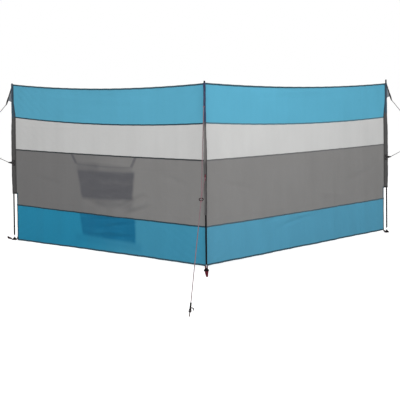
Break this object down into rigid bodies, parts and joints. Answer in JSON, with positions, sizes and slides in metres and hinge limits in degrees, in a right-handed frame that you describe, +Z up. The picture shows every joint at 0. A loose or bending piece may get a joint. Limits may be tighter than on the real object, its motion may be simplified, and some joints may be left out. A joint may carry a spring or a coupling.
{
  "type": "beach windbreak",
  "caption": "Freestanding fabric beach windbreak: striped bays on sleeved poles set in a V, with bridled guy ropes, bent wire pegs, foot straps and rear pockets.",
  "frame": {"origin": "on the ground under the centre pole, at the point of the V, on the underside of its foot strap", "axes": "+X from the left end pole towards the right one, +Y back into the V, +Z up"},
  "size_m": [6.232, 3.8693, 1.52],
  "materials": {
    "pole": "black coated glass-fibre tube, satin",
    "foot": "black moulded plastic",
    "steel": "zinc-plated steel pin",
    "red_webbing": "dark red webbing",
    "sleeve": "dark grey woven polyester",
    "mesh": "dark grey mesh",
    "black_webbing": "black webbing",
    "rope": "pale grey braided rope with a red fleck",
    "fitting": "black plastic",
    "peg": "bent steel wire, dull reddish grey",
    "light_blue": "light blue woven polyester",
    "white": "off-white woven polyester",
    "grey": "mid-grey woven polyester",
    "blue": "blue woven polyester",
    "seam": "dark seam tape",
    "hem": "dark teal hem",
    "bag": "dark grey woven polyester",
    "pocket": "dark blue woven polyester"
  },
  "bodies": {
    "root": {"left_pole": "pole", "left_foot": "foot", "left_foot_pin": "steel", "left_foot_strap": "red_webbing", "left_sleeve": "sleeve", "left_guy_patch": "mesh", "left_guy_tabs": "black_webbing", "left_guy_rope": "rope", "left_guy_ring": "fitting", "left_peg": "peg", "centre_pole": "pole", "centre_foot": "foot", "centre_foot_pin": "steel", "centre_foot_strap": "red_webbing", "centre_sleeve": "sleeve", "centre_guy_patch": "mesh", "centre_guy_tabs": "black_webbing", "centre_guy_rope": "rope", "centre_guy_ring": "fitting", "centre_peg": "peg", "right_pole": "pole", "right_foot": "foot", "right_foot_pin": "steel", "right_foot_strap": "red_webbing", "right_sleeve": "sleeve", "right_guy_patch": "mesh", "right_guy_tabs": "black_webbing", "right_guy_rope": "rope", "right_guy_ring": "fitting", "right_peg": "peg", "left_top_stripe": "light_blue", "left_white_stripe": "white", "left_grey_stripe": "grey", "left_low_stripe": "blue", "left_seams": "seam", "left_hems": "hem", "right_top_stripe": "light_blue", "right_white_stripe": "white", "right_grey_stripe": "grey", "right_low_stripe": "blue", "right_seams": "seam", "right_hems": "hem", "rear_bag": "bag", "rear_bag_straps": "black_webbing", "rear_pocket": "pocket"}
  },
  "joints": []
}
